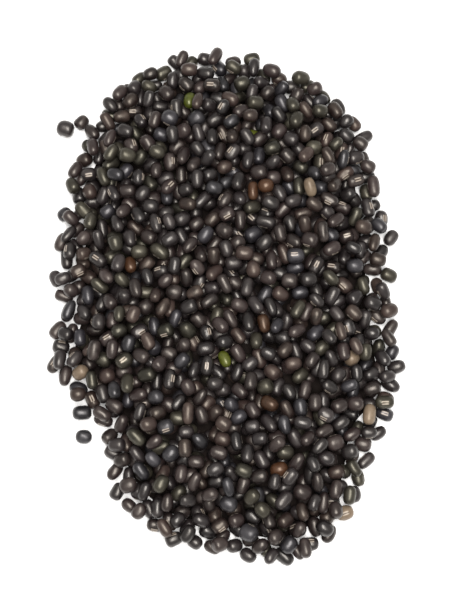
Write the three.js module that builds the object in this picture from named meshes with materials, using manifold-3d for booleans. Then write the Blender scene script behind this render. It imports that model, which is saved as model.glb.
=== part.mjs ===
// A flat heap of whole black gram, poured on a level surface and left as it lies.
// Millimetres. +Z is up, +Y runs along the heap, and z = 0 is the surface it lies on.
// The heap is poured grain by grain with a seeded draw, so it comes out the same each time.
// Its solid is a low core under the fused grains that show; the strays beside it are solids of their own.

import * as THREE from 'three';
import { mergeVertices } from 'three/addons/utils/BufferGeometryUtils.js';
import Module from 'manifold-3d';

// ---- The heap's outline, seen from above ----
const RIM_RADII = [ // every 15 degrees from +X, turning towards +Y
    50.6, 51.4, 55.2, 63.0, 72.9, 76.2, 79.2, 78.8, 73.0, 65.0, 55.5, 52.8,
    49.4, 53.9, 54.0, 52.2, 63.4, 70.1, 72.1, 77.3, 71.5, 59.7, 59.2, 53.3,
];
const POURED_ROUND = { x: -0.1, y: -2.1 }; // where the radii start, so that the footprint is centred

// ---- One grain: a short barrel, longer where it lies along the heap ----
const GRAIN_LENGTH = 4.65;
const LENGTH_SPREAD = 0.6;
const GRAIN_WIDTH = 3.75;
const WIDTH_SPREAD = 0.38;
const LONGWAYS_STRETCH = 1.22;
const SHORTEST_HALF = 0.2;
const END_SHARE = 0.93; // a ball at each end, this share of the middle one, stands for the barrel

// ---- The seeded draw ----
const SEED = 88;
const DRAW_FACTOR = 1664525;
const DRAW_STEP = 1013904223;
const DRAW_RANGE = 4294967296;
const LEAST_SQUARE = 0.05; // directions are drawn in a disk, away from its middle

// ---- Where the grains fall ----
const STRAYS = [
    { name: 'stray_grain_right', x: 48.6, y: 20.7 },
    { name: 'stray_grain_lower_left', x: -40.2, y: -37.8 },
    { name: 'stray_grain_upper_left_outer', x: -47.4, y: 53.9 },
    { name: 'stray_grain_upper_left_inner', x: -42.6, y: 56.1 },
];
const COLUMN_SPACING = 3.85;
const ROW_SPACING = 3.95;
const STAGGER = 0.5;
const COLUMNS_EACH_WAY = 16;
const ROWS_EACH_WAY = 21;
const ROUND_SHIFT_COLUMNS = 0.37;
const ROUND_SHIFT_ROWS = 0.41;
const SCATTER = 0.6;
const FLOOR_ROUNDS = 3;
const PILE_ROUNDS = 7;
const EDGE_WALK = 2.2;
const EDGE_START = 1.9;
const EDGE_DEPTH = 1.6;
const BARE_EDGE = 2; // a band inside the outline, of uneven width, that only one layer covers
const BARE_EDGE_SPREAD = 2.5;

// ---- How high they may pile up ----
const FLOOR_CEILING = 2.75; // a grain whose middle is higher than this isn't lying on the surface
const SECOND_LAYER = 5.3;
const SLOPE_START = 5.5;
const SLOPE = 0.36;
const PILE_TOP = 12;
const BARRED = 1e9;
const FLOOR_CLEARANCE = 1.8; // from the outline to the middle of the outermost grains on the surface
const PILE_CLEARANCE = 3.4; // and to that of the outermost grains on top of others
const NO_CLEARANCE = -1e9;

// ---- How they settle ----
const FLOOR_FALL = { roam: [2.2, 1, 0.5], tries: 16, inward: 0.3, tip: 0, clearance: FLOOR_CLEARANCE };
const EDGE_FALL = { roam: [0.9], tries: 12, inward: 0, tip: 0, clearance: FLOOR_CLEARANCE };
const PILE_FALL = { roam: [2.2, 1, 0.5], tries: 7, inward: 0.05, tip: 0.2, clearance: PILE_CLEARANCE };
const STRAY_FALL = { roam: [0.1], tries: 1, inward: 0, tip: 0, clearance: NO_CLEARANCE };
const SHAKE_FALL = { roam: [1.2, 0.5], tries: 16, inward: 0.15, tip: 0, clearance: NO_CLEARANCE };
const SHAKES = 2;
const TURN = 0.25;
const TILT = 0.2;
const NEIGHBOUR_REACH = 10;

// ---- The fused solid ----
const RIM_BAND = 5.8;
const SHOWN_SPACING = 5.2;
const BURIED_WITHIN = 2.3;
const BURIED_BY = 1.5;
const CORE_SEGMENTS = 64;
const CORE_RINGS = [0.34, 0.64, 0.86, 1];
const CORE_EDGE_WINDOW = 4;
const CORE_EDGE_INSET = 0.3;
const CORE_EDGE_HEIGHT = 1.2;
const CORE_SINK = 0.5; // from the middles of the grains that show down to the core
const CORE_SMOOTHING = 8;
const LEAST_RAISED = 0.15; // a fused grain's middle is this share of its radius above the core,
const MOST_RAISED = 0.72; // up to this share
const LEAST_JOINT = 0.4; // cubic millimetres that a fused grain shares with the core
const FACET_SIDES = 5;
const FACET_REACH = 1.15; // a five-sided barrel this much wider has the round one's volume
const FACET_PHASE_DEG = 18; // one edge along the top, one facet underneath
const SHOULDER = 0.6;
const TIP_REACH = 1.1;
const HOVER = 0.06; // fused grains end just above the surface, so that the core carries the heap

// ---- The strays ----
const STRAY_SIDES = 10;
const STRAY_RINGS = [-0.86, -0.5, 0, 0.5, 0.86];
const ROUNDNESS = 2.4;
const STRAY_GAP = 0.1; // kept free round a stray where a grain of the heap lies against it

const COAT = { color: 0x2b2827, roughness: 0.42, metalness: 0 };

// ---------------------------------------------------------------- seeded draws

class Draws {
    constructor(seed) {
        this.state = seed;
    }

    one() {
        this.state = (this.state * DRAW_FACTOR + DRAW_STEP) % DRAW_RANGE;
        return this.state / DRAW_RANGE;
    }

    signed() {
        return 2 * this.one() - 1;
    }

    bell() {
        return this.one() + this.one() + this.one() - 1.5;
    }
}

// ---------------------------------------------------------------- outline

// A smooth curve through the radii.
function rimRadius(angle) {
    const count = RIM_RADII.length;
    const steps = angle / (2 * Math.PI) * count;
    const whole = Math.floor(steps);
    const f = steps - whole;
    const [a, b, c, d] = [-1, 0, 1, 2].map((k) => RIM_RADII[(whole + k + 2 * count) % count]);
    return b + 0.5 * f * (c - a + f * (2 * a - 5 * b + 4 * c - d + f * (3 * (b - c) + d - a)));
}

function insetOf(x, y) {
    return rimRadius(Math.atan2(y, x)) - Math.sqrt(x * x + y * y);
}

// ---------------------------------------------------------------- pouring

function drawGrain(draws) {
    let ux;
    let uy;
    let square;
    do {
        ux = draws.signed();
        uy = draws.signed();
        square = ux * ux + uy * uy;
    } while (square <= LEAST_SQUARE || square > 1);
    const size = Math.sqrt(square);
    ux /= size;
    uy = uy / size * LONGWAYS_STRETCH;
    const stretch = Math.sqrt(ux * ux + uy * uy);
    const length = (GRAIN_LENGTH + LENGTH_SPREAD * draws.bell()) * stretch;
    const width = (GRAIN_WIDTH + WIDTH_SPREAD * draws.bell()) * LONGWAYS_STRETCH / stretch;
    const radius = width / 2;
    const half = Math.max(length / 2 - END_SHARE * radius, SHORTEST_HALF);
    return { ux: ux / stretch, uy: uy / stretch, half, radius };
}

// The three balls that stand for a grain, as offsets along its axis and radii.
function ballsOf(half, radius) {
    return [[-half, END_SHARE * radius], [0, radius], [half, END_SHARE * radius]];
}

class Pile {
    constructor() {
        this.grains = [];
    }

    neighbourBalls(x, y, skipped) {
        const balls = [];
        for (const grain of this.grains) {
            const dx = grain.x - x;
            const dy = grain.y - y;
            if (grain === skipped || dx * dx + dy * dy >= NEIGHBOUR_REACH * NEIGHBOUR_REACH) continue;
            for (const [offset, radius] of ballsOf(grain.half, grain.radius)) {
                const bx = grain.x + offset * grain.ux;
                const by = grain.y + offset * grain.uy;
                const bz = grain.z + offset * grain.uz;
                balls.push([bx, by, bz, radius]);
            }
        }
        return balls;
    }

    // The height at which a grain coming straight down at this place first touches something.
    restingHeight(place, half, radius, balls) {
        let height = 0;
        for (const [offset, ownRadius] of ballsOf(half, radius)) {
            const x = place.x + offset * place.ux;
            const y = place.y + offset * place.uy;
            const rise = offset * place.uz;
            height = Math.max(height, ownRadius - rise);
            for (const [bx, by, bz, ballRadius] of balls) {
                const reach = ownRadius + ballRadius;
                const dx = x - bx;
                const dy = y - by;
                const left = reach * reach - dx * dx - dy * dy;
                if (left > 0) height = Math.max(height, bz + Math.sqrt(left) - rise);
            }
        }
        return height;
    }

    // A grain settles at the best of a few places near where it falls: low, and towards the middle.
    settle(draws, start, half, radius, fall, skipped) {
        let best = start;
        for (const reach of fall.roam) {
            const places = [best];
            for (let i = 0; i < fall.tries; i++) {
                const x = best.x + draws.signed() * reach;
                const y = best.y + draws.signed() * reach;
                const ux = best.ux + draws.signed() * reach * TURN;
                const uy = best.uy + draws.signed() * reach * TURN;
                const uz = best.uz + draws.signed() * reach * TILT;
                places.push({ x, y, ux, uy, uz });
            }
            const balls = this.neighbourBalls(best.x, best.y, skipped);
            let bestScore = Infinity;
            for (const { x, y, ux, uy, uz } of places) {
                const size = Math.sqrt(ux * ux + uy * uy + uz * uz);
                const tried = { x, y, ux: ux / size, uy: uy / size, uz: uz / size };
                tried.z = this.restingHeight(tried, half, radius, balls);
                let score = tried.z + fall.inward * Math.sqrt(x * x + y * y);
                if (insetOf(x, y) <= fall.clearance) score = BARRED;
                if (score < bestScore) {
                    bestScore = score;
                    best = tried;
                }
            }
        }
        return best;
    }

    drop(draws, x, y, fall, ceiling) {
        const { ux, uy, half, radius } = drawGrain(draws);
        const start = { x, y, ux, uy, uz: fall.tip * draws.signed() };
        const place = this.settle(draws, start, half, radius, fall, null);
        if (place.z <= ceiling) this.grains.push({ ...place, half, radius });
    }

    shake(draws, first) {
        for (const grain of this.grains.slice(first)) {
            Object.assign(grain, this.settle(draws, grain, grain.half, grain.radius, SHAKE_FALL, grain));
        }
    }
}

// Places to drop grains at in one round, from the middle outwards.
function roundOfPlaces(draws, round) {
    const places = [];
    for (let row = -ROWS_EACH_WAY; row <= ROWS_EACH_WAY; row++) {
        for (let column = -COLUMNS_EACH_WAY; column <= COLUMNS_EACH_WAY; column++) {
            const columnPlace = column + STAGGER * (row & 1) + ROUND_SHIFT_COLUMNS * round;
            const x = columnPlace * COLUMN_SPACING + SCATTER * draws.signed();
            const y = (row + ROUND_SHIFT_ROWS * round) * ROW_SPACING + SCATTER * draws.signed();
            const chance = draws.one();
            const inset = insetOf(x, y);
            const outwards = -inset / (inset + Math.sqrt(x * x + y * y));
            if (inset > FLOOR_CLEARANCE) places.push({ x, y, inset, chance, outwards });
        }
    }
    return places.sort((a, b) => a.outwards - b.outwards);
}

function pourFloor(pile, draws) {
    for (let round = 0; round < FLOOR_ROUNDS; round++) {
        for (const { x, y } of roundOfPlaces(draws, round)) {
            pile.drop(draws, x, y, FLOOR_FALL, FLOOR_CEILING);
        }
        for (let i = 0; i < SHAKES; i++) pile.shake(draws, STRAYS.length);
    }
}

// Fills the free spots left along the outline.
function pourEdge(pile, draws) {
    let angle = 0;
    while (angle < 2 * Math.PI) {
        const rim = rimRadius(angle);
        const radius = rim - EDGE_START - EDGE_DEPTH * draws.one();
        pile.drop(draws, Math.cos(angle) * radius, Math.sin(angle) * radius, EDGE_FALL, FLOOR_CEILING);
        angle += EDGE_WALK / rim;
    }
}

function pourUpperLayers(pile, draws) {
    for (let round = FLOOR_ROUNDS; round < FLOOR_ROUNDS + PILE_ROUNDS; round++) {
        for (const { x, y, inset, chance } of roundOfPlaces(draws, round)) {
            if (inset <= BARE_EDGE + BARE_EDGE_SPREAD * chance) continue;
            const ceiling = Math.min(PILE_TOP, SECOND_LAYER + SLOPE * Math.max(0, inset - SLOPE_START));
            pile.drop(draws, x, y, PILE_FALL, ceiling);
        }
    }
}

function pour() {
    const draws = new Draws(SEED);
    const pile = new Pile();
    for (const { x, y } of STRAYS) pile.drop(draws, x, y, STRAY_FALL, BARRED);
    pourFloor(pile, draws);
    pourEdge(pile, draws);
    pourUpperLayers(pile, draws);
    return pile.grains;
}

// ---------------------------------------------------------------- which grains are fused on

function isUncovered(grain, grains) {
    return !grains.some((other) => {
        const dx = other.x - grain.x;
        const dy = other.y - grain.y;
        return dx * dx + dy * dy < BURIED_WITHIN * BURIED_WITHIN && other.z - grain.z > BURIED_BY;
    });
}

function isOnRim(grain) {
    return grain.z < FLOOR_CEILING && insetOf(grain.x, grain.y) < RIM_BAND;
}

// All the grains along the rim, then the largest of the others that show, spread evenly.
function grainsToFuse(grains, uncovered) {
    const volume = (grain) => grain.radius * grain.radius * (grain.half + grain.radius);
    const inside = uncovered.filter((grain) => !isOnRim(grain));
    inside.sort((a, b) => volume(b) - volume(a));
    const chosen = grains.filter(isOnRim);
    for (const grain of inside) {
        const crowded = chosen.some((other) => {
            const dx = other.x - grain.x;
            const dy = other.y - grain.y;
            return dx * dx + dy * dy < SHOWN_SPACING * SHOWN_SPACING;
        });
        if (!crowded) chosen.push(grain);
    }
    return chosen;
}

// ---------------------------------------------------------------- the core

// How far out the grains on the surface reach in each direction of the core.
function coreRadii(grains) {
    const radii = [];
    for (let k = 0; k < CORE_SEGMENTS; k++) {
        const angle = k * 2 * Math.PI / CORE_SEGMENTS;
        let reach = 0;
        for (const grain of grains) {
            const along = grain.x * Math.cos(angle) + grain.y * Math.sin(angle);
            const across = Math.abs(grain.y * Math.cos(angle) - grain.x * Math.sin(angle));
            if (across < CORE_EDGE_WINDOW && grain.z < FLOOR_CEILING) reach = Math.max(reach, along);
        }
        radii.push(reach - CORE_EDGE_INSET);
    }
    return radii;
}

// The core's height: a smoothed surface through the grains that show, sunk a little.
function coreHeight(x, y, uncovered) {
    let total = 0;
    let weights = 0;
    for (const grain of uncovered) {
        const dx = grain.x - x;
        const dy = grain.y - y;
        const nearness = Math.max(0, 1 - (dx * dx + dy * dy) / (CORE_SMOOTHING * CORE_SMOOTHING));
        const weight = nearness * grain.z * grain.z; // the higher grains count for more
        total += weight * grain.z;
        weights += weight;
    }
    return total / weights - CORE_SINK;
}

function coreBody(grains, uncovered) {
    const radii = coreRadii(grains);
    const rings = CORE_RINGS.map((share) => radii.map((radius, k) => {
        const angle = k * 2 * Math.PI / CORE_SEGMENTS;
        const x = Math.cos(angle) * radius * share;
        const y = Math.sin(angle) * radius * share;
        const z = share === 1 ? CORE_EDGE_HEIGHT : coreHeight(x, y, uncovered);
        return new THREE.Vector3(x + POURED_ROUND.x, y + POURED_ROUND.y, z);
    }));
    const foot = rings[rings.length - 1].map((point) => new THREE.Vector3(point.x, point.y, 0));
    const bottom = new THREE.Vector3(POURED_ROUND.x, POURED_ROUND.y, 0);
    const top = new THREE.Vector3(POURED_ROUND.x, POURED_ROUND.y, coreHeight(0, 0, uncovered));
    return ringedBody(bottom, [foot, ...rings.reverse()], top);
}

// ---------------------------------------------------------------- grain solids

// A closed body from rings of points, each with the same count, and a point at each end.
function ringedBody(firstTip, rings, lastTip) {
    const points = [firstTip, ...rings.flat(), lastTip];
    const sides = rings[0].length;
    const last = points.length - 1;
    const faces = [];
    for (let k = 0; k < sides; k++) {
        const next = (k + 1) % sides;
        faces.push(0, 1 + next, 1 + k);
        for (let ring = 0; ring < rings.length - 1; ring++) {
            const low = 1 + ring * sides;
            const high = low + sides;
            faces.push(low + k, low + next, high + next, low + k, high + next, high + k);
        }
        faces.push(last, last - sides + k, last - sides + next);
    }
    const coordinates = points.flatMap((point) => point.toArray());
    const geometry = new THREE.BufferGeometry();
    geometry.setAttribute('position', new THREE.Float32BufferAttribute(coordinates, 3));
    geometry.setIndex(faces);
    return geometry;
}

// A point of a grain: share of the half length along its axis, and share of the radius round it.
function grainPoint(grain, along, out, angle) {
    const axis = new THREE.Vector3(grain.ux, grain.uy, grain.uz);
    const side = new THREE.Vector3(-grain.uy, grain.ux, 0).normalize();
    const up = new THREE.Vector3().crossVectors(axis, side);
    const halfLength = grain.half + END_SHARE * grain.radius;
    return new THREE.Vector3(grain.x + POURED_ROUND.x, grain.y + POURED_ROUND.y, grain.z)
        .addScaledVector(axis, along * halfLength)
        .addScaledVector(side, out * grain.radius * Math.cos(angle))
        .addScaledVector(up, out * grain.radius * Math.sin(angle));
}

function grainBody(grain, sides, phase, stations, tipReach, lowest) {
    const rings = stations.map(([along, out]) => {
        const ring = [];
        for (let k = 0; k < sides; k++) {
            ring.push(grainPoint(grain, along, out, phase + k * 2 * Math.PI / sides));
        }
        return ring;
    });
    const firstTip = grainPoint(grain, -tipReach, 0, 0);
    const lastTip = grainPoint(grain, tipReach, 0, 0);
    const geometry = ringedBody(firstTip, rings, lastTip);
    const position = geometry.getAttribute('position');
    for (let i = 0; i < position.count; i++) position.setZ(i, Math.max(position.getZ(i), lowest));
    return geometry;
}

// A grain on the rim keeps its place. One on the pile is raised or sunk to be well seated in the core.
function seatedHeight(grain, uncovered) {
    if (isOnRim(grain)) return grain.z;
    const core = coreHeight(grain.x, grain.y, uncovered);
    const lowest = core + LEAST_RAISED * grain.radius;
    const highest = core + MOST_RAISED * grain.radius;
    return THREE.MathUtils.clamp(grain.z, lowest, highest);
}

function fusedGrain(grain, uncovered) {
    const seated = { ...grain, z: seatedHeight(grain, uncovered) };
    const phase = THREE.MathUtils.degToRad(FACET_PHASE_DEG);
    const stations = [[-SHOULDER, FACET_REACH], [SHOULDER, FACET_REACH]];
    return grainBody(seated, FACET_SIDES, phase, stations, TIP_REACH, HOVER);
}

// A stray lies on the flat facet along its underside.
function strayGrain(grain) {
    const level = { ...grain, z: grain.radius, uz: 0 };
    const facet = Math.PI / STRAY_SIDES;
    const stations = STRAY_RINGS.map((along) => {
        const bulge = Math.pow(1 - Math.pow(Math.abs(along), ROUNDNESS), 1 / ROUNDNESS);
        return [along, bulge / Math.cos(facet)];
    });
    return grainBody(level, STRAY_SIDES, -Math.PI / 2 + facet, stations, 1, 0);
}

// ---------------------------------------------------------------- joining

const manifold = await Module();
manifold.setup();

function toSolid(geometry) {
    const merged = mergeVertices(geometry);
    const vertProperties = new Float32Array(merged.getAttribute('position').array);
    const triVerts = new Uint32Array(merged.getIndex().array);
    return new manifold.Manifold(new manifold.Mesh({ numProp: 3, vertProperties, triVerts }));
}

function toGeometry(solid) {
    const mesh = solid.getMesh();
    const geometry = new THREE.BufferGeometry();
    geometry.setAttribute('position', new THREE.Float32BufferAttribute(mesh.vertProperties, 3));
    geometry.setIndex(Array.from(mesh.triVerts));
    return geometry;
}

function heapGeometry(grains, strays) {
    const uncovered = grains.filter((grain) => isUncovered(grain, grains));
    const core = toSolid(coreBody(grains, uncovered));
    let solid = core;
    for (const grain of grainsToFuse(grains, uncovered)) {
        const piece = toSolid(fusedGrain(grain, uncovered));
        if (core.intersect(piece).volume() > LEAST_JOINT) solid = solid.add(piece);
    }
    for (const stray of strays) {
        const room = strayGrain({ ...stray, radius: stray.radius + STRAY_GAP });
        solid = solid.subtract(toSolid(room));
    }
    return toGeometry(solid);
}

function grainMesh(name, geometry) {
    const mesh = new THREE.Mesh(geometry, new THREE.MeshStandardMaterial(COAT));
    mesh.name = name;
    return mesh;
}

const grains = pour();
const strays = grains.slice(0, STRAYS.length);
const model = new THREE.Group();
model.add(grainMesh('grain_heap', heapGeometry(grains.slice(STRAYS.length), strays)));
STRAYS.forEach(({ name }, i) => model.add(grainMesh(name, strayGrain(strays[i]))));

export default model;
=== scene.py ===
"""A low heap of whole black gram on a white surface, seen from above.

The heap is poured grain by grain with the same seeded draw as its solid, so each grain lies where the
solid has it. Lengths are in millimetres until a mesh is made, and the heap runs along +Y.
"""
import math

import bpy
import numpy as np
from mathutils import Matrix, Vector


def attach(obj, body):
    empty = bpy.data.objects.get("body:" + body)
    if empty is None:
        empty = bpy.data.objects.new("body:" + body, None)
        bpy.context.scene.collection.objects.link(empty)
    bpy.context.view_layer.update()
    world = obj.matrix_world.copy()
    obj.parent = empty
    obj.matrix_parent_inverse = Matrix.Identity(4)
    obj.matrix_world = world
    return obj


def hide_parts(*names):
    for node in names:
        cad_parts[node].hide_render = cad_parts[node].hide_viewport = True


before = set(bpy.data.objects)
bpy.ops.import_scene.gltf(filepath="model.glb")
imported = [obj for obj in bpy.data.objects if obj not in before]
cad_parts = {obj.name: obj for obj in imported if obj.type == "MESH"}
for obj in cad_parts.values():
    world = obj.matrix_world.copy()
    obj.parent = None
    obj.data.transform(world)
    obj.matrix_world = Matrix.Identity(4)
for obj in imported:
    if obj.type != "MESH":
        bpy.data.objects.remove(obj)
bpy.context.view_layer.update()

MM = 0.001
UP = (0, 0, 1)

# ---- The heap's outline, seen from above ----
RIM_RADII = [  # every 15 degrees from +X, turning towards +Y
    50.6, 51.4, 55.2, 63.0, 72.9, 76.2, 79.2, 78.8, 73.0, 65.0, 55.5, 52.8,
    49.4, 53.9, 54.0, 52.2, 63.4, 70.1, 72.1, 77.3, 71.5, 59.7, 59.2, 53.3,
]
POURED_ROUND = (-0.1, -2.1)  # where the radii start

# ---- One grain: a short barrel, longer where it lies along the heap ----
GRAIN_LENGTH = 4.65
LENGTH_SPREAD = 0.6
GRAIN_WIDTH = 3.75
WIDTH_SPREAD = 0.38
LONGWAYS_STRETCH = 1.22
SHORTEST_HALF = 0.2
END_SHARE = 0.93  # a ball at each end, this share of the middle one, stands for the barrel

# ---- How the grains are poured ----
POUR_SEED = 88
LEAST_SQUARE = 0.05
STRAYS = {  # the node of each loose grain, and its place
    "stray_grain_right": (48.6, 20.7),
    "stray_grain_lower_left": (-40.2, -37.8),
    "stray_grain_upper_left_outer": (-47.4, 53.9),
    "stray_grain_upper_left_inner": (-42.6, 56.1),
}
COLUMN_SPACING = 3.85
ROW_SPACING = 3.95
STAGGER = 0.5
COLUMNS_EACH_WAY = 16
ROWS_EACH_WAY = 21
ROUND_SHIFT_COLUMNS = 0.37
ROUND_SHIFT_ROWS = 0.41
SCATTER = 0.6
FLOOR_ROUNDS = 3
PILE_ROUNDS = 7
EDGE_WALK = 2.2  # along the rim, from one dropped grain to the next
EDGE_START = 1.9  # and their least distance inside the outline
EDGE_DEPTH = 1.6
BARE_EDGE = 2  # nothing is piled nearer to the outline than this
BARE_EDGE_SPREAD = 2.5
FLOOR_CEILING = 2.75
SECOND_LAYER = 5.3  # the height of the middles of the second layer
SLOPE_START = 5.5
SLOPE = 0.36
PILE_TOP = 12
FLOOR_CLEARANCE = 1.8  # from the outline to the middle of the outermost grains on the surface
PILE_CLEARANCE = 3.4  # and to that of the outermost grains on top of others
NO_CLEARANCE = -1e9
BARRED = 1e9
NO_CEILING = 1e9
FLOOR_FALL = {"roam": [2.2, 1, 0.5], "tries": 16, "inward": 0.3, "tip": 0, "clearance": FLOOR_CLEARANCE}
EDGE_FALL = {"roam": [0.9], "tries": 12, "inward": 0, "tip": 0, "clearance": FLOOR_CLEARANCE}
PILE_FALL = {"roam": [2.2, 1, 0.5], "tries": 7, "inward": 0.05, "tip": 0.2, "clearance": PILE_CLEARANCE}
STRAY_FALL = {"roam": [0.1], "tries": 1, "inward": 0, "tip": 0, "clearance": NO_CLEARANCE}
SHAKE_FALL = {"roam": [1.2, 0.5], "tries": 16, "inward": 0.15, "tip": 0, "clearance": NO_CLEARANCE}
SHAKES = 2
TURN = 0.25  # how far a settling grain swings at each try, as a share of its steps in millimetres
TILT = 0.2  # and how far it tips
NEIGHBOUR_REACH = 10
MOST_GRAINS = 3000

# ---- Which grains show ----
BURIED_WITHIN = 2.3  # a grain is covered by one whose middle is nearer than this, seen from above,
BURIED_BY = 1.5  # and this much higher
HEART_DEPTH = 8.3  # the heap's unseen heart lies this far under the middles of the top grains
HEART_INSET = 9
HEART_SEGMENTS = 96
HEART_RINGS = 22
HEART_LUMP = 0.45
HEART_LUMP_SPACING = 4.2
HEART_FOOT = 0.05

# ---- One grain's own shape ----
LOOKS_SEED = 23
DRAWS_EACH = 12
SQUARENESS = (2.25, 3.1)  # of the barrel's profile: 2 is an egg, 4 a tin
MOST_TAPER = 0.09
MOST_FLAT = 0.07
MOST_NARROW = 0.035
MOST_BEND = 0.07
MOST_LUMP = 0.022
SHRIVELLED_SHARE = 0.07
SHRIVELLED_LUMP = 0.06
LUMP_WAVES = [  # how often round the grain, the twist from end to end, the step in phase and the height
    (2, 2.3, 1, 1.0),
    (3, -3.1, 2, 0.7),
    (5, 4.7, 3, 0.5),
]
LUMP_DROP = 1.6  # the waves lie this much lower than the barrel, so that hardly any stands out of it
FLOOR_GAP = 0.02

# ---- The scar along one side of a grain ----
SCAR_HALF_LENGTH = 1.12
SCAR_HALF_WIDTH = 0.54
SCAR_OFF_MIDDLE = 0.12
SCAR_RIDGE = 0.1
SCAR_RIDGE_SPREAD = 0.3
SCAR_SLIT = 0.07
SCAR_SLIT_SPREAD = 0.5
SCAR_SLIT_HALF_WIDTH = 0.14
SCAR_FIELD = 2.5  # distances round the grain from the scar stop at this
SCAR_UP_SHARE = 0.1
SCAR_UP_SWING_DEG = 62
SCAR_DOWN_SWING_DEG = 105
SCAR_MODELLED_DEG = 112  # a scar turned further from the top than this is left plain
NO_SCAR = 9.0

# ---- Where the odd coloured grains lie, and those whose scar is on top ----
ODD_PLACES = {
    "green": [(-10.8, 58.3), (6.1, 51.7), (-3.1, -16.6)],
    "russet": [(11.0, -6.5), (11.8, 34.6), (8.1, 34.4), (13.3, -48.8), (14.8, -29.5), (-28.6, 12.8)],
    "tan": [(-42.2, -21.9), (24.0, 35.0), (40.9, -31.9), (38.3, -15.7), (33.7, -59.4)],
}
SCAR_UP_PLACES = [(29.8, 11.2), (25.7, 14.1), (36.0, 20.7), (-27.7, -18.4), (-39.1, -25.2), (19.4, 12.9)]
STRAY_COATS = {
    "stray_grain_right": "coal_black",
    "stray_grain_lower_left": "slate_black",
    "stray_grain_upper_left_outer": "coal_black",
    "stray_grain_upper_left_inner": "brown_black",
}

# ---- A grain's grid of angles: round it, with 0 on the scar, and from one end to the other ----
SCARRED_TURNS_DEG = [
    -160, -132, -104, -78, -56, -38, -25, -16.4, -8, 0, 8, 16.4, 25, 38, 56, 78, 104, 132, 160, 180,
]
SCARRED_STATIONS_DEG = [16, 32, 47, 59, 68, 75, 80.5, 85.5, 90, 94.5, 99.5, 105, 112, 121, 133, 148, 164]
PLAIN_TURNS_DEG = [k * 20 for k in range(18)]
PLAIN_STATIONS_DEG = [k * 15 for k in range(1, 12)]

# ---- The seed coats ----
# Share of the heap, finish, deepest and lightest colour, bloom, tint of the gloss, and roughness.
BLACKS = {
    "coal_black": (
        0.22, "coal-black seed coat, dry and waxy", "0e0b0c", "211c1d", "403938", "fff9f1", 0.35),
    "jet_black": (
        0.14, "jet-black seed coat, dry and polished", "0c0a0b", "1e191a", "3c3635", "fffaf4", 0.32),
    "slate_black": (
        0.1, "slate-black seed coat, dry and waxy", "0d0c0d", "222024", "424042", "fbf8f9", 0.37),
    "brown_black": (
        0.28, "brown-black seed coat, dry and waxy", "110c0c", "281f1f", "49403d", "fff6eb", 0.36),
    "olive_black": (
        0.13, "olive-black seed coat, dry and waxy", "0e0d0b", "24211c", "454137", "fff9e2", 0.37),
    "umber_black": (
        0.13, "umber seed coat, dry and rubbed", "160f0e", "302523", "54463f", "fff2e2", 0.39),
}
ODD_COATS = {
    "green": ("yellow-green seed coat, dry and waxy", "2a300c", "555a18", "62652c", "ffffd8", 0.34),
    "russet": ("russet seed coat, dry and waxy", "22140c", "3f281a", "4a382b", "ffe6d0", 0.36),
    "tan": ("tan seed coat, dry and rubbed", "463a2f", "706151", "80715d", "fff0dc", 0.42),
}
SCAR_CREAM = "8f857a"
SCAR_DARK = "2c2019"
# Painted shade: the dark matt coat of the heap's heart, for the grains deep in the heap and the gaps between
# them.
PAINTED_SHADE_LIGHT = "221d1b"
PAINTED_SHADE_DARK = "120f0e"
COAT_IOR = 1.5
COAT_GLOSS = 0.65
PATTERN_STEP = 61.0  # moves the patterns on from one grain to the next
MOTTLES_PER_MM = 1.2
MOTTLE_DETAIL = 3.0
MOTTLE_RANGE = (0.45, 1.5)
BLOOMS_PER_MM = 0.4
BLOOM_DETAIL = 4.0
BLOOM_RANGE = (0.4, 0.75)
BLOOM_RUBBED_SHARE = 0.3
BLOOM_LEFT = (0.05, 0.6)
BLOOM_ROUGHENS = 0.25
SCAR_END_FADE = 0.25
SCAR_SIDE_FADE = (0.1, 0.02)  # outside and inside its edge
SCAR_SLIT_FADE = 0.1
PITS_PER_MM = 3.3
PIT_DETAIL = 4.0
PIT_DEPTH = 0.05
PIT_STRENGTH = 0.5

# ---- Surface, lights and camera ----
FLOOR_SIZE = 4.0  # this and the lengths below it are in metres, unless their name says mm
CARD_WHITE = "f4f4f4"
CARD_ROUGHNESS = 0.9
SOFTBOX_CREAM = "fffcf9"
SOFTBOX_ELEVATION_DEG = 84
SOFTBOX_SWING_DEG = 15
SOFTBOX_DISTANCE = 0.6
SOFTBOX_WIDTH = 0.2
SOFTBOX_LENGTH = 0.5
SOFTBOX_POWER = 6.3
ROOM_LIGHT = 0.55
CAMERA_TARGET_HEIGHT = 0.002
CAMERA_TARGET = Vector((POURED_ROUND[0] * MM, POURED_ROUND[1] * MM, CAMERA_TARGET_HEIGHT))
CAMERA_ELEVATION_DEG = 78
CAMERA_DISTANCE = 0.45
PICTURE_ROWS = 614
ROW_SPAN_MM = 0.29  # what one row of the picture spans at the target
PICTURE_HEIGHT = PICTURE_ROWS * ROW_SPAN_MM * MM


# ---------------------------------------------------------------- pouring


class Draws:
    """Seeded draws, the same on every machine."""

    def __init__(self, seed):
        self.state = seed

    def one(self):
        self.state = (self.state * 1664525 + 1013904223) % 4294967296
        return self.state / 4294967296

    def signed(self):
        return 2 * self.one() - 1

    def bell(self):
        return self.one() + self.one() + self.one() - 1.5


def rim_radius(angle):
    """A smooth curve through the radii."""
    count = len(RIM_RADII)
    steps = angle / (2 * math.pi) * count
    whole = math.floor(steps)
    f = steps - whole
    a, b, c, d = (RIM_RADII[(whole + k) % count] for k in (-1, 0, 1, 2))
    return b + 0.5 * f * (c - a + f * (2 * a - 5 * b + 4 * c - d + f * (3 * (b - c) + d - a)))


def inset_of(x, y):
    """How far inside the outline a place is."""
    return rim_radius(math.atan2(y, x)) - math.sqrt(x * x + y * y)


def pile_ceiling(inset):
    """The height that the middles of the top grains reach, this far inside the outline."""
    return min(PILE_TOP, SECOND_LAYER + SLOPE * max(0, inset - SLOPE_START))


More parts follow.
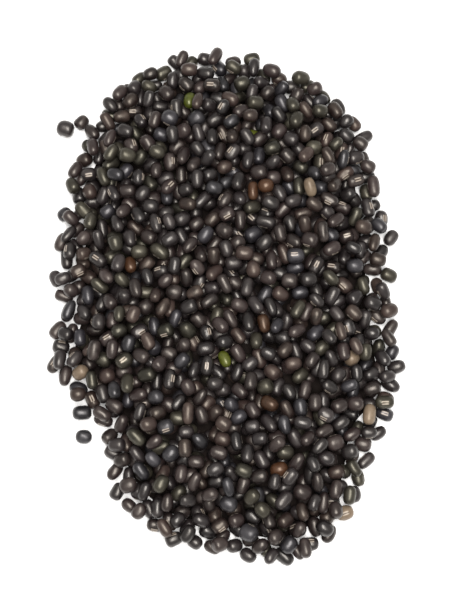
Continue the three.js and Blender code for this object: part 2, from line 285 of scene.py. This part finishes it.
def draw_grain(draws):
    """Its level axis, the half distance between its end balls, and its radius."""
    while True:
        ux = draws.signed()
        uy = draws.signed()
        square = ux * ux + uy * uy
        if LEAST_SQUARE < square <= 1:
            break
    size = math.sqrt(square)
    ux /= size
    uy = uy / size * LONGWAYS_STRETCH
    stretch = math.sqrt(ux * ux + uy * uy)
    length = (GRAIN_LENGTH + LENGTH_SPREAD * draws.bell()) * stretch
    width = (GRAIN_WIDTH + WIDTH_SPREAD * draws.bell()) * LONGWAYS_STRETCH / stretch
    radius = width / 2
    half = max(length / 2 - END_SHARE * radius, SHORTEST_HALF)
    return ux / stretch, uy / stretch, half, radius


class Pile:
    """Grains at rest: middles, axes, half distances between end balls, and radii."""

    def __init__(self):
        self.count = 0
        self.middle = np.zeros((MOST_GRAINS, 3))
        self.axis = np.zeros((MOST_GRAINS, 3))
        self.half = np.zeros(MOST_GRAINS)
        self.radius = np.zeros(MOST_GRAINS)

    def neighbour_balls(self, x, y, skipped):
        dx = self.middle[:self.count, 0] - x
        dy = self.middle[:self.count, 1] - y
        near = np.nonzero(dx * dx + dy * dy < NEIGHBOUR_REACH * NEIGHBOUR_REACH)[0]
        near = near[near != skipped]
        offsets = self.half[near, None] * np.array([-1, 0, 1])
        balls = self.middle[near, None, :] + offsets[:, :, None] * self.axis[near, None, :]
        radii = self.radius[near, None] * np.array([END_SHARE, 1, END_SHARE])
        return balls.reshape(-1, 3), radii.ravel()

    @staticmethod
    def resting_heights(places, axes, half, radius, balls, ball_radii):
        """The heights at which a grain coming straight down at each place first touches something."""
        offsets = np.array([-half, 0, half])
        own = np.array([END_SHARE * radius, radius, END_SHARE * radius])
        xs = places[:, None, 0] + offsets * axes[:, None, 0]
        ys = places[:, None, 1] + offsets * axes[:, None, 1]
        rises = offsets * axes[:, None, 2]
        heights = (own - rises).max(axis=1)
        if len(balls) == 0:
            return heights
        reach = own[None, :, None] + ball_radii
        dx = xs[:, :, None] - balls[:, 0]
        dy = ys[:, :, None] - balls[:, 1]
        left = reach * reach - dx * dx - dy * dy
        touch = np.where(left > 0, balls[:, 2] + np.sqrt(np.maximum(left, 0)) - rises[:, :, None], 0)
        return np.maximum(heights, touch.reshape(len(places), -1).max(axis=1))

    def settle(self, draws, x, y, axis, half, radius, fall, skipped):
        """The best of a few places near where a grain falls: low, and towards the middle."""
        best = (x, y, *axis)
        for reach in fall["roam"]:
            tried = [best]
            for _ in range(fall["tries"]):
                steps = [draws.signed() * reach for _ in best]
                scales = (1, 1, TURN, TURN, TILT)
                tried.append([value + step * scale for value, step, scale in zip(best, steps, scales)])
            tried = np.array(tried)
            axes = tried[:, 2:]
            squares = axes * axes
            axes = axes / np.sqrt(squares[:, 0] + squares[:, 1] + squares[:, 2])[:, None]
            balls, ball_radii = self.neighbour_balls(best[0], best[1], skipped)
            heights = self.resting_heights(tried, axes, half, radius, balls, ball_radii)
            score = heights + fall["inward"] * np.sqrt(tried[:, 0] ** 2 + tried[:, 1] ** 2)
            barred = [inset_of(tx, ty) <= fall["clearance"] for tx, ty in tried[:, :2]]
            score[barred] = BARRED
            k = int(np.argmin(score))
            best = (tried[k, 0], tried[k, 1], *axes[k])
        return np.array([best[0], best[1], heights[k]]), np.array(best[2:])

    def drop(self, draws, x, y, fall, ceiling):
        ux, uy, half, radius = draw_grain(draws)
        axis = (ux, uy, fall["tip"] * draws.signed())
        middle, axis = self.settle(draws, x, y, axis, half, radius, fall, -1)
        if middle[2] <= ceiling:
            i = self.count
            self.middle[i], self.axis[i], self.half[i], self.radius[i] = middle, axis, half, radius
            self.count += 1

    def shake(self, draws, first):
        for i in range(first, self.count):
            x, y, _ = self.middle[i]
            self.middle[i], self.axis[i] = self.settle(
                draws, x, y, self.axis[i], self.half[i], self.radius[i], SHAKE_FALL, i)


def round_of_places(draws, turn):
    """Places to drop grains at in one round, from the middle outwards."""
    places = []
    for row in range(-ROWS_EACH_WAY, ROWS_EACH_WAY + 1):
        for column in range(-COLUMNS_EACH_WAY, COLUMNS_EACH_WAY + 1):
            column_place = column + STAGGER * (row & 1) + ROUND_SHIFT_COLUMNS * turn
            x = column_place * COLUMN_SPACING + SCATTER * draws.signed()
            y = (row + ROUND_SHIFT_ROWS * turn) * ROW_SPACING + SCATTER * draws.signed()
            chance = draws.one()
            inset = inset_of(x, y)
            outwards = -inset / (inset + math.sqrt(x * x + y * y))
            if inset > FLOOR_CLEARANCE:
                places.append((outwards, x, y, inset, chance))
    return sorted(places, key=lambda place: place[0])


def pour():
    draws = Draws(POUR_SEED)
    pile = Pile()
    for x, y in STRAYS.values():
        pile.drop(draws, x, y, STRAY_FALL, NO_CEILING)
    for turn in range(FLOOR_ROUNDS):
        for _, x, y, _, _ in round_of_places(draws, turn):
            pile.drop(draws, x, y, FLOOR_FALL, FLOOR_CEILING)
        for _ in range(SHAKES):
            pile.shake(draws, len(STRAYS))
    angle = 0
    while angle < 2 * math.pi:
        rim = rim_radius(angle)
        radius = rim - EDGE_START - EDGE_DEPTH * draws.one()
        pile.drop(draws, math.cos(angle) * radius, math.sin(angle) * radius, EDGE_FALL, FLOOR_CEILING)
        angle += EDGE_WALK / rim
    for turn in range(FLOOR_ROUNDS, FLOOR_ROUNDS + PILE_ROUNDS):
        for _, x, y, inset, chance in round_of_places(draws, turn):
            if inset > BARE_EDGE + BARE_EDGE_SPREAD * chance:
                pile.drop(draws, x, y, PILE_FALL, pile_ceiling(inset))
    return pile


# ---------------------------------------------------------------- which grains show


def heart_top(x, y):
    """The height of the heap's unseen heart, 0 near the rim."""
    inset = inset_of(x, y)
    if inset < HEART_INSET:
        return 0
    return max(0, pile_ceiling(inset) - HEART_DEPTH)


def is_uncovered(pile):
    """For each grain, whether no other lies on top of it."""
    uncovered = np.ones(pile.count, bool)
    for i in range(pile.count):
        gap = pile.middle[:pile.count] - pile.middle[i]
        near = gap[:, 0] ** 2 + gap[:, 1] ** 2 < BURIED_WITHIN ** 2
        uncovered[i] = not (near & (gap[:, 2] > BURIED_BY)).any()
    return uncovered


def nearest_uncovered(pile, uncovered, x, y):
    away = (pile.middle[:pile.count, 0] - x) ** 2 + (pile.middle[:pile.count, 1] - y) ** 2
    return int(np.argmin(np.where(uncovered, away, BARRED)))


def clears_heart(pile):
    """For each grain, whether any of it reaches out of the heart."""
    tops = pile.middle[:pile.count, 2] + pile.radius[:pile.count]
    hearts = [heart_top(x, y) for x, y, _ in pile.middle[:pile.count]]
    return tops > np.array(hearts)


# ---------------------------------------------------------------- grain shapes


class Looks:
    """What the pour leaves open: each grain's kind, its turn and its small departures from a barrel."""

    def __init__(self, pile):
        draws = Draws(LOOKS_SEED)
        count = pile.count
        rows = np.array([[draws.one() for _ in range(DRAWS_EACH)] for _ in range(count)])
        self.tone = rows[:, 0]
        self.kind_pick = rows[:, 1]
        self.squareness = SQUARENESS[0] + (SQUARENESS[1] - SQUARENESS[0]) * rows[:, 2]
        self.taper = MOST_TAPER * (2 * rows[:, 3] - 1)
        self.flat = 1 - MOST_FLAT * rows[:, 4]
        self.narrow = 1 - MOST_NARROW * rows[:, 5]
        self.bend = MOST_BEND * rows[:, 6]
        shrivelled = rows[:, 7] < SHRIVELLED_SHARE
        self.lump = np.where(shrivelled, SHRIVELLED_LUMP, MOST_LUMP) * (0.5 + rows[:, 8] / 2)
        self.phase = rows[:, 9] * 2 * math.pi
        swing = 2 * rows[:, 11] - 1
        up = rows[:, 10] < SCAR_UP_SHARE
        self.turn = np.where(up, swing * SCAR_UP_SWING_DEG, 180 + swing * SCAR_DOWN_SWING_DEG)

    def scar_shows(self):
        from_top = np.abs((self.turn + 180) % 360 - 180)
        return from_top < SCAR_MODELLED_DEG


def barrel_faces(turns, stations):
    """Quads between the rings of one grain and triangles round its two ends, as point numbers."""
    k = np.arange(turns)
    after = (k + 1) % turns
    last = 1 + turns * stations
    quads = []
    for ring in range(stations - 1):
        low = 1 + ring * turns
        high = low + turns
        quads.append(np.stack([low + k, low + after, high + after, high + k], axis=1))
    top = last - turns
    first_end = np.stack([0 * k, 1 + after, 1 + k], axis=1)
    last_end = np.stack([0 * k + last, top + k, top + after], axis=1)
    return np.concatenate(quads), np.concatenate([first_end, last_end]), last + 1


def lumps_of(around, share, phase):
    """Low waves over a grain, from its angles round and its places from end to end."""
    waves = 0
    for times, twist, step, height in LUMP_WAVES:
        waves = waves + height * np.sin(times * around + twist * share + step * phase)
    return waves


def scar_field(along, around, radius):
    """Each point's place on the scar, and how far the scar's ridges and slit lift it, in millimetres."""
    from_line = np.minimum(np.abs(around)[None, :] * radius, SCAR_FIELD)
    field = np.full((*along.shape, 3), NO_SCAR)
    field[:, :, 0] = along - SCAR_OFF_MIDDLE
    field[:, :, 1] = from_line
    ring = np.sqrt((field[:, :, 0] / SCAR_HALF_LENGTH) ** 2 + (from_line / SCAR_HALF_WIDTH) ** 2)
    ridge = SCAR_RIDGE * np.exp(-((ring - 1) / SCAR_RIDGE_SPREAD) ** 2)
    return field, ridge - SCAR_SLIT * np.exp(-(ring / SCAR_SLIT_SPREAD) ** 2)


def laid_out(pile, looks, chosen, along, sideways, upwards):
    """Points given on each grain, moved to where the grain lies and turned as it lies."""
    axis = pile.axis[chosen]
    level = np.cross(UP, axis)
    level /= np.linalg.norm(level, axis=1)[:, None]
    raised = np.cross(axis, level)
    turn = np.radians(looks.turn[chosen])[:, None]
    scar_way = np.cos(turn) * raised + np.sin(turn) * level
    side_way = np.cross(axis, scar_way)
    points = pile.middle[chosen][:, None, :] + np.array([*POURED_ROUND, 0])
    points = points + along[:, :, None] * axis[:, None, :]
    points = points + sideways[:, :, None] * side_way[:, None, :] + upwards[:, :, None] * scar_way[:, None, :]
    points[:, :, 2] = np.maximum(points[:, :, 2], FLOOR_GAP)
    return points


def grain_points(pile, looks, chosen, turns_deg, stations_deg, scarred):
    """Points of the chosen grains, each with its place on its grain and scar, and its grain's tone."""
    turns = np.radians(turns_deg)
    stations = np.radians([0.0] + [s for s in stations_deg for _ in turns_deg] + [180.0])
    around = np.concatenate([[0.0], np.tile(turns, len(stations_deg)), [0.0]])
    radius = pile.radius[chosen][:, None]
    half_length = pile.half[chosen][:, None] + END_SHARE * radius
    power = 2 / looks.squareness[chosen][:, None]
    taper = looks.taper[chosen][:, None]
    lump = looks.lump[chosen][:, None]
    cosine = np.cos(stations)[None, :]
    share = np.sign(cosine) * np.abs(cosine) ** power
    girth = np.clip(np.sin(stations), 0, 1)[None, :] ** power
    girth = girth * (1 - np.abs(taper) - taper * share)
    girth = girth * (1 - LUMP_DROP * lump + lump * lumps_of(around, share, looks.phase[chosen][:, None]))
    out = radius * girth
    along = half_length * share
    sideways = out * np.sin(around) * looks.narrow[chosen][:, None]
    upwards = out * np.cos(around) * looks.flat[chosen][:, None]
    upwards = upwards + looks.bend[chosen][:, None] * radius * (share * share - 1) * (girth > 0)
    scar = np.full((*out.shape, 3), NO_SCAR)
    if scarred:
        scar, relief = scar_field(along, around, radius)
        sideways = sideways + relief * np.sin(around)
        upwards = upwards + relief * np.cos(around)
    points = laid_out(pile, looks, chosen, along, sideways, upwards)
    place = np.stack([along, sideways, upwards], axis=2)
    tone = np.repeat(looks.tone[chosen][:, None], points.shape[1], axis=1)
    return points, place, scar, tone


# ---------------------------------------------------------------- meshes


def mesh_of(name, points, polygons, values, material):
    """A smooth-shaded piece from points in millimetres, polygons of three or four, and named point values."""
    mesh = bpy.data.meshes.new(name)
    mesh.vertices.add(len(points))
    mesh.vertices.foreach_set("co", (points * MM).ravel())
    corners = np.concatenate([p.ravel() for p in polygons])
    sizes = np.concatenate([np.full(len(p), p.shape[1]) for p in polygons])
    mesh.loops.add(len(corners))
    mesh.loops.foreach_set("vertex_index", corners)
    mesh.polygons.add(len(sizes))
    mesh.polygons.foreach_set("loop_start", np.concatenate([[0], np.cumsum(sizes)[:-1]]))
    mesh.polygons.foreach_set("use_smooth", np.ones(len(sizes), bool))
    for key, value in values.items():
        kind = "FLOAT_VECTOR" if value.ndim == 2 else "FLOAT"
        field = "vector" if value.ndim == 2 else "value"
        mesh.attributes.new(key, kind, "POINT").data.foreach_set(field, value.ravel())
    mesh.update()
    mesh.validate()
    mesh.materials.append(material)
    piece = bpy.data.objects.new(name, mesh)
    bpy.context.scene.collection.objects.link(piece)
    return piece


def grains_mesh(name, pile, looks, chosen, material):
    """One piece of all the chosen grains; those whose scar may be seen have it modelled."""
    shows = looks.scar_shows()
    points, quads, ends, places, scars, tones = [], [], [], [], [], []
    start = 0
    for scarred, turns, stations in ((True, SCARRED_TURNS_DEG, SCARRED_STATIONS_DEG),
                                     (False, PLAIN_TURNS_DEG, PLAIN_STATIONS_DEG)):
        some = np.array([i for i in chosen if shows[i] == scarred], int)
        if len(some) == 0:
            continue
        grid, place, scar, tone = grain_points(pile, looks, some, turns, stations, scarred)
        grain_quads, grain_ends, count = barrel_faces(len(turns), len(stations))
        starts = start + count * np.arange(len(some))[:, None, None]
        points.append(grid.reshape(-1, 3))
        places.append(place.reshape(-1, 3))
        scars.append(scar.reshape(-1, 3))
        tones.append(tone.ravel())
        quads.append((grain_quads[None] + starts).reshape(-1, 4))
        ends.append((grain_ends[None] + starts).reshape(-1, 3))
        start += count * len(some)
    values = {"grain_place": np.concatenate(places), "scar_place": np.concatenate(scars),
              "grain_tone": np.concatenate(tones)}
    polygons = [np.concatenate(quads), np.concatenate(ends)]
    return mesh_of(name, np.concatenate(points), polygons, values, material)


def heart_mesh(name, material):
    """The heart under the grains, unseen but through the gaps: a lumpy mound that ends a few grains inside
    the rim. It stands for the buried grains, and its dark matt coat is painted shade where it shows in the
    gaps.
    """
    angles = np.arange(HEART_SEGMENTS) * 2 * math.pi / HEART_SEGMENTS
    reach = np.array([rim_radius(angle) - HEART_INSET for angle in angles])
    rings = []
    for ring in range(HEART_RINGS, 0, -1):
        x = np.cos(angles) * reach * ring / HEART_RINGS
        y = np.sin(angles) * reach * ring / HEART_RINGS
        lumps = np.sin(x * 2 * math.pi / HEART_LUMP_SPACING) * np.sin(y * 2 * math.pi / HEART_LUMP_SPACING)
        z = np.array([heart_top(a, b) for a, b in zip(x, y)]) + HEART_LUMP * (lumps - 1)
        rings.append(np.stack([x, y, np.maximum(z, HEART_FOOT * 2)], axis=1))
    foot = rings[0].copy()
    foot[:, 2] = HEART_FOOT
    top = [0, 0, pile_ceiling(inset_of(0, 0)) - HEART_DEPTH - HEART_LUMP]
    points = np.concatenate([[[0, 0, HEART_FOOT]], foot, *rings, [top]]) + np.array([*POURED_ROUND, 0])
    quads, ends, _ = barrel_faces(HEART_SEGMENTS, HEART_RINGS + 1)
    return mesh_of(name, points, [quads, ends], {"grain_place": points}, material)


# ---------------------------------------------------------------- materials


def linear(colour):
    """An sRGB hex colour as linear red, green, blue and alpha."""
    parts = [int(colour[i:i + 2], 16) / 255 for i in (0, 2, 4)]
    return (*[p / 12.92 if p <= 0.04045 else ((p + 0.055) / 1.055) ** 2.4 for p in parts], 1)


def add(tree, kind, links, **settings):
    """Adds a node. links gives each input, by name or number, a value or another node's output."""
    node = tree.nodes.new(kind)
    for key, value in settings.items():
        setattr(node, key, value)
    for key, value in links.items():
        if isinstance(value, bpy.types.NodeSocket):
            tree.links.new(value, node.inputs[key])
        else:
            node.inputs[key].default_value = value
    return node


def mottled(tree, place, own, tone, deep, light):
    """Mottling in patches of about 0.8 mm, and one shade lighter or darker for each whole grain."""
    mottle = add(tree, "ShaderNodeTexNoise", {
        "Vector": place, "W": own, "Scale": MOTTLES_PER_MM, "Detail": MOTTLE_DETAIL},
        noise_dimensions="4D").outputs["Fac"]
    shade = add(tree, "ShaderNodeMath", {0: mottle, 1: tone}, operation="ADD").outputs[0]
    shade = add(tree, "ShaderNodeMapRange", {
        "Value": shade, "From Min": MOTTLE_RANGE[0], "From Max": MOTTLE_RANGE[1]}).outputs[0]
    return add(tree, "ShaderNodeMix", {
        0: shade, 6: linear(deep), 7: linear(light)}, data_type="RGBA").outputs[2]


def dusty_bloom(tree, place, own):
    """A pale dust in patches of about 2.5 mm, thick on some grains and all but rubbed off on others."""
    dust = add(tree, "ShaderNodeTexNoise", {
        "Vector": place, "W": own, "Scale": BLOOMS_PER_MM, "Detail": BLOOM_DETAIL},
        noise_dimensions="4D").outputs["Fac"]
    dust = add(tree, "ShaderNodeMapRange", {
        "Value": dust, "From Min": BLOOM_RANGE[0], "From Max": BLOOM_RANGE[1]}).outputs[0]
    left_on = add(tree, "ShaderNodeMath", {0: own}, operation="FRACT").outputs[0]
    left_on = add(tree, "ShaderNodeMapRange", {
        "Value": left_on, "From Min": BLOOM_RUBBED_SHARE,
        "To Min": BLOOM_LEFT[0], "To Max": BLOOM_LEFT[1]}).outputs[0]
    return add(tree, "ShaderNodeMath", {0: dust, 1: left_on}, operation="MULTIPLY").outputs[0]


def with_scar(tree, scar, colour):
    """The skin's colour with the scar on it: two cream ridges side by side, a dark slit between them."""
    parts = add(tree, "ShaderNodeSeparateXYZ", {0: scar})
    along = add(tree, "ShaderNodeMath", {0: parts.outputs["X"]}, operation="ABSOLUTE").outputs[0]
    inside = add(tree, "ShaderNodeMapRange", {
        "Value": along, "From Min": SCAR_HALF_LENGTH,
        "From Max": SCAR_HALF_LENGTH - SCAR_END_FADE}).outputs[0]
    within = add(tree, "ShaderNodeMapRange", {
        "Value": parts.outputs["Y"], "From Min": SCAR_HALF_WIDTH + SCAR_SIDE_FADE[0],
        "From Max": SCAR_HALF_WIDTH - SCAR_SIDE_FADE[1]}).outputs[0]
    beyond = add(tree, "ShaderNodeMapRange", {
        "Value": parts.outputs["Y"], "From Min": SCAR_SLIT_HALF_WIDTH,
        "From Max": SCAR_SLIT_HALF_WIDTH + SCAR_SLIT_FADE}).outputs[0]
    whole = add(tree, "ShaderNodeMath", {0: inside, 1: within}, operation="MULTIPLY").outputs[0]
    ridges = add(tree, "ShaderNodeMix", {
        0: beyond, 6: linear(SCAR_DARK), 7: linear(SCAR_CREAM)}, data_type="RGBA").outputs[2]
    return add(tree, "ShaderNodeMix", {0: whole, 6: colour, 7: ridges}, data_type="RGBA").outputs[2]


def fine_pits(tree, place, own):
    """Pits of about 0.15 mm, too fine to show at arm's length, so drawn at 0.3 mm."""
    pits = add(tree, "ShaderNodeTexNoise", {
        "Vector": place, "W": own, "Scale": PITS_PER_MM, "Detail": PIT_DETAIL},
        noise_dimensions="4D").outputs["Fac"]
    return add(tree, "ShaderNodeBump", {
        "Height": pits, "Strength": PIT_STRENGTH, "Distance": PIT_DEPTH * MM}).outputs["Normal"]


def seed_coat(name, deep, light, bloom, gloss, shine):
    """The skin of a dry pulse: waxy over fine pits, mottled, with a thin dusty bloom and a pale scar."""
    material = bpy.data.materials.new(name)
    material.use_nodes = True
    tree = material.node_tree
    skin = tree.nodes["Principled BSDF"]
    place = add(tree, "ShaderNodeAttribute", {}, attribute_name="grain_place").outputs["Vector"]
    scar = add(tree, "ShaderNodeAttribute", {}, attribute_name="scar_place").outputs["Vector"]
    tone = add(tree, "ShaderNodeAttribute", {}, attribute_name="grain_tone").outputs["Fac"]
    own = add(tree, "ShaderNodeMath", {0: tone, 1: PATTERN_STEP}, operation="MULTIPLY").outputs[0]
    colour = mottled(tree, place, own, tone, deep, light)
    dust = dusty_bloom(tree, place, own)
    colour = add(tree, "ShaderNodeMix", {
        0: dust, 6: colour, 7: linear(bloom)}, data_type="RGBA").outputs[2]
    colour = with_scar(tree, scar, colour)
    bump = fine_pits(tree, place, own)
    rough = add(tree, "ShaderNodeMapRange", {
        "Value": dust, "To Min": shine, "To Max": shine + BLOOM_ROUGHENS}).outputs[0]
    for socket, source in (("Base Color", colour), ("Roughness", rough), ("Normal", bump)):
        tree.links.new(source, skin.inputs[socket])
    skin.inputs["IOR"].default_value = COAT_IOR
    skin.inputs["Specular IOR Level"].default_value = COAT_GLOSS
    skin.inputs["Specular Tint"].default_value = linear(gloss)
    return material


def painted_shade_coat(name):
    """Painted shade for the pulse deep in the heap, where hardly any light comes: its colours as they look in
    shadow, matt and without gloss, in blotches a grain wide.
    """
    material = bpy.data.materials.new(name)
    material.use_nodes = True
    tree = material.node_tree
    skin = tree.nodes["Principled BSDF"]
    place = add(tree, "ShaderNodeAttribute", {}, attribute_name="grain_place").outputs["Vector"]
    blotch = add(tree, "ShaderNodeTexVoronoi", {
        "Vector": place, "Scale": 1 / GRAIN_WIDTH}).outputs["Distance"]
    colour = add(tree, "ShaderNodeMix", {
        0: blotch, 6: linear(PAINTED_SHADE_LIGHT), 7: linear(PAINTED_SHADE_DARK)}, data_type="RGBA").outputs[2]
    tree.links.new(colour, skin.inputs["Base Color"])
    skin.inputs["Roughness"].default_value = 1.0
    skin.inputs["Specular IOR Level"].default_value = 0.0
    return material


# ---------------------------------------------------------------- surface and lights


def white_surface():
    """The bare surface under the heap: matt card, so bright that no texture of its own shows."""
    bpy.ops.mesh.primitive_plane_add(size=FLOOR_SIZE)
    plane = bpy.context.object
    plane.name = "white_surface"
    material = bpy.data.materials.new("white card, matt")
    material.use_nodes = True
    card = material.node_tree.nodes["Principled BSDF"]
    card.inputs["Base Color"].default_value = linear(CARD_WHITE)
    card.inputs["Roughness"].default_value = CARD_ROUGHNESS
    plane.data.materials.append(material)


def aimed(thing, direction, distance, target):
    """Puts a light or camera at a distance from the target and turns it there."""
    thing.location = target + direction.normalized() * distance
    thing.rotation_euler = (target - thing.location).to_track_quat("-Z", "Y").to_euler()
    bpy.context.scene.collection.objects.link(thing)


def from_south(elevation_deg, swing_deg=0.0):
    """A direction at that height above the horizon, from -Y or swung from it towards +X."""
    elevation = math.radians(elevation_deg)
    swing = math.radians(swing_deg)
    level = math.cos(elevation)
    return Vector((level * math.sin(swing), -level * math.cos(swing), math.sin(elevation)))


def soft_light(name, direction, distance, width, length, power):
    lamp = bpy.data.lights.new(name, "AREA")
    lamp.shape = "RECTANGLE"
    lamp.size = width
    lamp.size_y = length
    lamp.energy = power
    lamp.color = linear(SOFTBOX_CREAM)[:3]
    aimed(bpy.data.objects.new(name, lamp), direction, distance, CAMERA_TARGET)


# ---------------------------------------------------------------- the heap


def kinds_of(pile, looks, uncovered):
    """Each grain's kind: a draw among the blacks, and the odd colours where they lie."""
    names = list(BLACKS)
    limits = np.cumsum([share for share, *_ in BLACKS.values()])
    kinds = [names[min(int(np.searchsorted(limits, pick)), len(names) - 1)] for pick in looks.kind_pick]
    for odd, places in ODD_PLACES.items():
        for x, y in places:
            kinds[nearest_uncovered(pile, uncovered, x, y)] = odd
    return kinds


pile = pour()
looks = Looks(pile)
uncovered = is_uncovered(pile)
kinds = kinds_of(pile, looks, uncovered)
for x, y in SCAR_UP_PLACES:
    looks.turn[nearest_uncovered(pile, uncovered, x, y)] = 0
coats = {name: seed_coat(*finish) for name, (_, *finish) in BLACKS.items()}
coats |= {name: seed_coat(*finish) for name, finish in ODD_COATS.items()}

shown = clears_heart(pile)
in_heap = [i for i in range(len(STRAYS), pile.count) if shown[i]]
for name, coat in coats.items():
    piece = grains_mesh(name + "_grains", pile, looks, [i for i in in_heap if kinds[i] == name], coat)
    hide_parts("grain_heap")
    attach(piece, "root")
# The heart stands for the buried grains; its dark matt coat is painted shade in the gaps between the grains.
heart = heart_mesh("buried_grains_and_painted_shade", painted_shade_coat("black seed coats, painted shade, matt"))
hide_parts("grain_heap")
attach(heart, "root")
for i, node in enumerate(STRAYS):
    piece = grains_mesh(node + "_seed", pile, looks, [i], coats[STRAY_COATS[node]])
    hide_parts(node)
    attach(piece, "root")

white_surface()
scene = bpy.context.scene
lens = bpy.data.cameras.new("camera")
lens.sensor_fit = "VERTICAL"
lens.angle = 2 * math.atan(PICTURE_HEIGHT / 2 / CAMERA_DISTANCE)
camera = bpy.data.objects.new("camera", lens)
aimed(camera, from_south(CAMERA_ELEVATION_DEG), CAMERA_DISTANCE, CAMERA_TARGET)
scene.camera = camera

softbox_way = from_south(SOFTBOX_ELEVATION_DEG, SOFTBOX_SWING_DEG)
soft_light("key softbox", softbox_way, SOFTBOX_DISTANCE, SOFTBOX_WIDTH, SOFTBOX_LENGTH, SOFTBOX_POWER)
room = bpy.data.worlds.new("pale room")
room.use_nodes = True
room.node_tree.nodes["Background"].inputs["Color"].default_value = (1, 1, 1, 1)
room.node_tree.nodes["Background"].inputs["Strength"].default_value = ROOM_LIGHT
scene.world = room
scene.view_settings.view_transform = "Standard"
